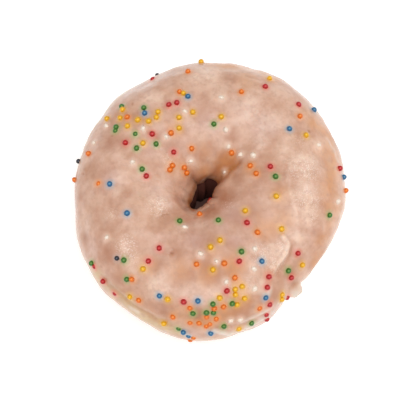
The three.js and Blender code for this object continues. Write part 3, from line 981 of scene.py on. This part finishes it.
# %% [markdown]
# ## Finishes
#
# Every finish starts from the same effects: soft patches that shift a colour, and a fine grain that breaks
# up the gloss. Each effect is a node group with named inputs, built once and placed in a material with its
# own values. The groups read Object coordinates, so a pattern stays where it is on the doughnut. A short
# helper adds a node and wires its inputs, which keeps each material readable as a recipe.

# %% Wire nodes
def feed(tree, socket, value):
    """Give a socket a value, or a link from another socket."""
    if isinstance(value, bpy.types.NodeSocket):
        tree.links.new(value, socket)
    else:
        socket.default_value = value


def add(tree, kind, inputs=None, **settings):
    """Add a shader node with its settings, and give its inputs a value or a link each."""
    made = tree.nodes.new("ShaderNode" + kind)
    for name, value in settings.items():
        setattr(made, name, value)
    for name, value in (inputs or {}).items():
        feed(tree, made.inputs[name], value)
    return made


def blend(tree, factor, first, second):
    """The first colour, or the second where the factor is 1."""
    mix = add(tree, "Mix", data_type="RGBA")
    for index, value in ((0, factor), (6, first), (7, second)):
        feed(tree, mix.inputs[index], value)
    return mix.outputs[2]


def spread(tree, value, low, high, to_low=0.0, to_high=1.0):
    """A value stretched from one range to another, with nothing past its ends."""
    inputs = {"Value": value, "From Min": low, "From Max": high, "To Min": to_low, "To Max": to_high}
    return add(tree, "MapRange", inputs, clamp=True).outputs["Result"]


def math_of(tree, operation, first, second, clamp=False):
    """One sum on two values, kept from 0 to 1 where clamp is set."""
    return add(tree, "Math", {0: first, 1: second}, operation=operation, use_clamp=clamp).outputs[0]


def painted(tree, name, strength=1.0):
    """A number kept on the vertices, times a strength."""
    return math_of(tree, "MULTIPLY", add(tree, "Attribute", attribute_name=name).outputs["Fac"], strength)


def colour(*parts):
    """A colour from 0 to 255 as a socket's value."""
    return (*shade(*parts), 1.0)


# %% [markdown]
# ### Patches and grain
#
# Patches is a soft noise with a set size and contrast. Grain is a finer one, kept for the Height of a Bump
# node. Crystals are the sugar that has come out of the icing as it dried: small cells, each with its own
# brightness, that show only where a cover mask lets them.

# %% Build the shared groups
def new_group(name, inputs, outputs):
    """An empty node group with its named sockets. Each input is a name and a value."""
    group = bpy.data.node_groups.new(name, "ShaderNodeTree")
    for label, value in inputs.items():
        socket = group.interface.new_socket(name=label, in_out="INPUT", socket_type="NodeSocketFloat")
        socket.default_value = value
    for label in outputs:
        group.interface.new_socket(name=label, in_out="OUTPUT", socket_type="NodeSocketFloat")
    return group, group.nodes.new("NodeGroupInput").outputs, group.nodes.new("NodeGroupOutput").inputs


def noise_at(tree, size, detail, seed):
    """Noise whose lumps are so many millimetres across."""
    place = add(tree, "TexCoord").outputs["Object"]
    scale = math_of(tree, "DIVIDE", 1 / MM, size)
    inputs = {"Vector": place, "W": seed, "Scale": scale, "Detail": detail, "Roughness": 0.55}
    return add(tree, "TexNoise", inputs, noise_dimensions="4D").outputs["Fac"]


patches, given, result = new_group("Patches", {"Size": 8.0, "Contrast": 2.0, "Seed": 0.0}, ["Mask"])
swing = math_of(patches, "SUBTRACT", noise_at(patches, given["Size"], 3.0, given["Seed"]), 0.5)
wide = math_of(patches, "MULTIPLY", swing, given["Contrast"])
patches.links.new(math_of(patches, "ADD", wide, 0.5, clamp=True), result["Mask"])

grain, given, result = new_group("Grain", {"Size": 1.0, "Seed": 0.0}, ["Height"])
grain.links.new(noise_at(grain, given["Size"], 2.0, given["Seed"]), result["Height"])

crystals, given, result = new_group("Crystals", {"Size": 0.5, "Cover": 1.0, "Share": 0.4}, ["Mask"])
cell_scale = math_of(crystals, "DIVIDE", 1 / MM, given["Size"])
place = add(crystals, "TexCoord").outputs["Object"]
cells = add(crystals, "TexVoronoi", {"Vector": place, "Scale": cell_scale})
brightness = add(crystals, "SeparateColor", {"Color": cells.outputs["Color"]}).outputs["Red"]
lit = math_of(crystals, "LESS_THAN", brightness, given["Share"])
near = spread(crystals, cells.outputs["Distance"], 0.15, 0.55, 1.0, 0.0)
bright = math_of(crystals, "MULTIPLY", lit, near)
crystals.links.new(math_of(crystals, "MULTIPLY", bright, given["Cover"]), result["Mask"])
print("groups:", [group.name for group in bpy.data.node_groups])


def place_group(tree, group, **values):
    """One copy of a group in a material, with its own values."""
    made = tree.nodes.new("ShaderNodeGroup")
    made.node_tree = group
    for name, value in values.items():
        feed(tree, made.inputs[name], value)
    return made.outputs[0]


def new_material(name):
    """A material with its node tree and its Principled shader."""
    material = bpy.data.materials.new(name)
    material.use_nodes = True
    return material, material.node_tree, material.node_tree.nodes["Principled BSDF"]


def link_finish(tree, shader, base, roughness, height, strength, depth):
    """Link a finish's colour and roughness to its shader, and a bump of so many metres."""
    bump = add(tree, "Bump", {"Height": height, "Strength": strength, "Distance": depth})
    for name, source in (("Base Color", base), ("Roughness", roughness), ("Normal", bump.outputs["Normal"])):
        tree.links.new(source, shader.inputs[name])


def set_values(shader, **values):
    """Set sockets of a shader that are the same all over, named with underscores for spaces."""
    for name, value in values.items():
        shader.inputs[name.replace("_", " ")].default_value = value


# %% [markdown]
# ### Sugar icing
#
# Thin icing is a pale veil over brown crust, so its colour runs from a whitish pink where it pooled to a
# light tan where it ran off. The painted spots and two sizes of patches mix the two, and the spots also hold
# painted highlights where the lamps' sheen lay and painted shade round the hole and in creases. The icing
# dried with a silky gloss, and in places with a crust of fine crystals, which are brighter and rougher; their
# brightness is partly a painted glint. A little light goes through it, which subsurface scattering gives.

# %% Mix the icing's finish
THICK_AND_SHEEN_TONE = colour(243, 210, 188)
MIDDLE = colour(211, 164, 134)
THIN_AND_SHADE_TONE = colour(164, 96, 56)
HONEY = colour(218, 150, 90)
COOL = colour(214, 180, 174)
MOTTLE = colour(186, 138, 116)
CRYSTAL_GLINT = colour(248, 228, 212)
CREAM = colour(212, 180, 134)
PAINTED_GLINT_TONE = colour(232, 216, 200)
BROWNED_AND_SHADED = colour(176, 102, 46)
PINK = colour(208, 162, 148)

icing_finish, tree, shader = new_material("sugar_icing")
large = place_group(tree, patches, Size=9.0, Contrast=2.2, Seed=1.0)
small = place_group(tree, patches, Size=3.2, Contrast=1.8, Seed=4.0)
rosy = place_group(tree, patches, Size=14.0, Contrast=3.0, Seed=9.0)
specks = place_group(tree, patches, Size=1.5, Contrast=2.6, Seed=11.0)
# Crystals of sugar, painted paler as a painted glint.
crystal_glint_mask = place_group(tree, crystals, Size=0.45, Cover=painted(tree, "sugar", 0.95), Share=0.6)
fine = place_group(tree, grain, Size=0.9, Seed=2.0)
dye = add(tree, "Attribute", attribute_name="dye").outputs

noise_mix = math_of(tree, "ADD", math_of(tree, "MULTIPLY", large, 0.5), math_of(tree, "MULTIPLY", small, 0.5))
# Thick icing is paler, partly a painted highlight, and thin icing is tan, partly a painted shade.
to_thick_and_sheen = math_of(tree, "MULTIPLY", spread(tree, noise_mix, 0.35, 0.9), 0.4)
to_thick_and_sheen = math_of(tree, "ADD", to_thick_and_sheen, painted(tree, "pale", 0.75), clamp=True)
to_thin = math_of(tree, "MULTIPLY", spread(tree, noise_mix, 0.65, 0.1), 0.28)
to_thin = math_of(tree, "ADD", to_thin, painted(tree, "thin", 0.7), clamp=True)

# Each layer is how far it covers and its colour, from the lowest to the uppermost.
LAYERS = [
    (math_of(tree, "MULTIPLY", rosy, 0.4), PINK),
    (to_thick_and_sheen, THICK_AND_SHEEN_TONE),
    (painted(tree, "cream", 0.9), CREAM),
    (to_thin, THIN_AND_SHADE_TONE),
    (painted(tree, "warm", 0.75), HONEY),
    (painted(tree, "cool", 0.45), COOL),
    (spread(tree, specks, 0.45, 1.0, 0.0, 0.38), MOTTLE),
    # Browned icing by the hole, partly a painted shade.
    (painted(tree, "browned_and_shaded", 0.72), BROWNED_AND_SHADED),
    # Painted highlights on the foot, the skirts and the right rim.
    (painted(tree, "clear", 0.9), PAINTED_GLINT_TONE),
    # Painted glint on the crystals.
    (crystal_glint_mask, CRYSTAL_GLINT),
    (math_of(tree, "MULTIPLY", dye["Alpha"], 0.85), dye["Color"]),
]
body = MIDDLE
for cover, tint in LAYERS:
    body = blend(tree, cover, body, tint)
dull = spread(tree, small, 0.2, 0.8, 0.32, 0.44)
height = math_of(tree, "ADD", fine, math_of(tree, "MULTIPLY", crystal_glint_mask, 1.5))
link_finish(tree, shader, body, dull, height, 0.35, 0.08 * MM)
tree.links.new(spread(tree, to_thin, 0.1, 0.6, 0.6, 0.15), shader.inputs["Coat Weight"])
set_values(shader, IOR=1.45, Subsurface_Weight=0.25, Subsurface_Radius=(1.0, 0.5, 0.3),
           Subsurface_Scale=1.2 * MM, Coat_Roughness=0.13)
icing.data.materials.append(icing_finish)
print("the icing's colour has", len(LAYERS), "layers")

# %% [markdown]
# ### Fried crust
#
# Both faces of the ring fried brown, and the waist, which floated above the fat, stayed cream. The crust is
# darkest in the hole, partly fried crust and partly a painted shade of the deep, narrow hole. Small blisters
# and a leathery grain cover it all.

# %% Mix the crust's finish
CRUST = colour(178, 116, 66)
CRUST_DARK = colour(128, 74, 40)
WAIST_CREAM = colour(224, 192, 146)
# Darker crust in the hole, partly fried crust and partly a painted shade of the deep hole.
HOLE_CRUST_AND_SHADE = colour(98, 54, 44)
WAIST_LOW = 9.0
WAIST_HIGH = 21.0
WAIST_FADE = 4.0
WAIST_WANDER = 4.0
HOLE_ENDS = (8.0, 16.0)  # the hole's brown fades between these distances from the middle, in millimetres
FLANK_STARTS = (26.0, 32.0)

crust_finish, tree, shader = new_material("fried_dough")
place = add(tree, "TexCoord").outputs["Object"]
split = add(tree, "SeparateXYZ", {"Vector": place})
up = math_of(tree, "DIVIDE", split.outputs["Z"], MM)
wander = place_group(tree, patches, Size=11.0, Contrast=2.0, Seed=3.0)
up = math_of(tree, "ADD", up, math_of(tree, "MULTIPLY", wander, WAIST_WANDER))
above = spread(tree, up, WAIST_LOW, WAIST_LOW + WAIST_FADE)
below = spread(tree, up, WAIST_HIGH, WAIST_HIGH + WAIST_FADE, 1.0, 0.0)
flat = add(tree, "CombineXYZ", {"X": split.outputs["X"], "Y": split.outputs["Y"], "Z": 0.0}).outputs[0]
out_mm = math_of(tree, "DIVIDE", add(tree, "VectorMath", {0: flat}, operation="LENGTH").outputs["Value"], MM)
outside = spread(tree, out_mm, *FLANK_STARTS)
waist = math_of(tree, "MULTIPLY", math_of(tree, "MULTIPLY", above, below), outside)
browning = place_group(tree, patches, Size=7.0, Contrast=2.4, Seed=6.0)
crust = blend(tree, math_of(tree, "MULTIPLY", browning, 0.75), CRUST, CRUST_DARK)
crust = blend(tree, waist, crust, WAIST_CREAM)
# Towards the hole the crust turns dark: fried crust and a painted shade.
in_hole_shade = spread(tree, out_mm, *HOLE_ENDS, 1.0, 0.0)
crust = blend(tree, in_hole_shade, crust, HOLE_CRUST_AND_SHADE)
blisters = place_group(tree, grain, Size=1.6, Seed=5.0)
leather = place_group(tree, grain, Size=0.5, Seed=8.0)
height = math_of(tree, "ADD", blisters, math_of(tree, "MULTIPLY", leather, 0.4))
link_finish(tree, shader, crust, spread(tree, browning, 0.0, 1.0, 0.5, 0.68), height, 0.6, 0.25 * MM)
set_values(shader, IOR=1.45)
dough.data.materials.append(crust_finish)
print("the waist stays cream from", WAIST_LOW, "to", WAIST_HIGH, "mm up")

# %% [markdown]
# ### Sprinkles
#
# A sprinkle is a grain of sugar with a hard, shiny, dyed shell. All colours share one recipe: the dye is a
# little uneven, the shell is glossy, and the icing's film softens it slightly. Each ball's side towards the
# lamp overhead is painted paler, a painted highlight.

# %% Mix the sprinkles' finishes
# Each colour is its shell and its paler top, a painted highlight towards the lamp overhead.
SHELLS = {
    "red": ((188, 6, 14), (216, 56, 50)),
    "orange": ((238, 116, 10), (252, 146, 36)),
    "yellow": ((242, 178, 2), (255, 198, 8)),
    "green": ((58, 116, 24), (112, 148, 52)),
    "blue": ((30, 104, 150), (98, 152, 178)),
    "dark": ((20, 20, 34), (80, 80, 96)),
    "white": ((255, 234, 214), (255, 246, 232)),
}
# Where the painted highlight begins and where it is full.
HIGHLIGHT_EDGE = (0.86, 0.985)
DEEPER = 0.8

for name, (shell, lit_top) in SHELLS.items():
    finish, tree, shader = new_material(name + "_sugar")
    uneven = place_group(tree, patches, Size=1.1, Contrast=1.6, Seed=7.0)
    deeper = tuple(DEEPER * part for part in colour(*shell)[:3]) + (1.0,)
    painted_highlight = spread(tree, painted(tree, "painted_highlight"), *HIGHLIGHT_EDGE)
    dyed = blend(tree, painted_highlight, blend(tree, uneven, colour(*shell), deeper), colour(*lit_top))
    pores = place_group(tree, grain, Size=0.4, Seed=1.0)
    link_finish(tree, shader, dyed, spread(tree, uneven, 0.0, 1.0, 0.28, 0.38), pores, 0.2, 0.04 * MM)
    set_values(shader, IOR=1.5, Coat_Weight=0.3, Coat_Roughness=0.2)
    sprinkles[name].data.materials.append(finish)
print("materials:", len(bpy.data.materials))

# %% [markdown]
# ## Hand over to the frame
#
# Each piece rides on the doughnut's one body, and the imported dough and icing are hidden. The two boxes,
# of the frame and of the finished doughnut, are printed.

# %% Ride and replace
for piece in (dough, icing, *sprinkles.values()):
    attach(piece, "root")
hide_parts("dough_ring")
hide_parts("icing")
for name, piece in sprinkles.items():
    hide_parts("icing")

new_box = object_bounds()
sizes = {"cad": [list(corner) for corner in cad_box], "visual": [list(corner) for corner in new_box]}
for name, box in sizes.items():
    print(name, "box in mm:", [[round(c / MM, 1) for c in corner] for corner in box])
